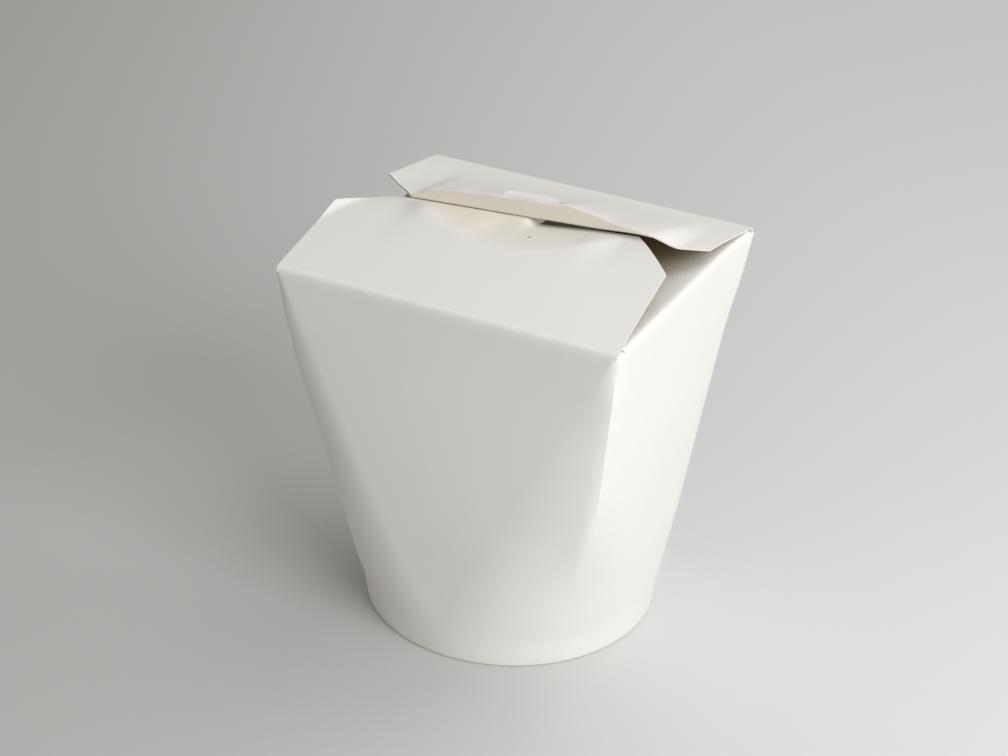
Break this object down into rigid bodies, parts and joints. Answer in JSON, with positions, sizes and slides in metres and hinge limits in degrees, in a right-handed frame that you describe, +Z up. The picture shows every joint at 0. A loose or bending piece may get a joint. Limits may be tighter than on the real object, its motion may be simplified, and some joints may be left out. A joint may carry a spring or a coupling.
{
  "type": "takeout food box",
  "caption": "White paperboard food box: round foot, walls that turn rectangular at the mouth, and a closed lid of folded flaps locked by a tongue.",
  "frame": {"origin": "on the table, under the middle of the box", "axes": "+Z up, front of the box towards -Y, its right side towards +X"},
  "size_m": [0.0988, 0.086, 0.1185],
  "materials": {
    "board_coated": "white coated paperboard, soft satin",
    "board_coated_lid": "white coated paperboard, soft satin",
    "board_base": "white coated paperboard, soft satin"
  },
  "bodies": {
    "box": {"box_blank": "board_coated", "base_disc": "board_base"},
    "rear_flap": {"rear_lid_flap": "board_coated_lid"}
  },
  "joints": [
    {"name": "rear_lid_hinge", "type": "hinge", "parent": "box", "child": "rear_flap", "pos_m": [0, 0.0428, 0.1065], "axis": [-1, 0, 0], "range_deg": [0, 120]}
  ]
}
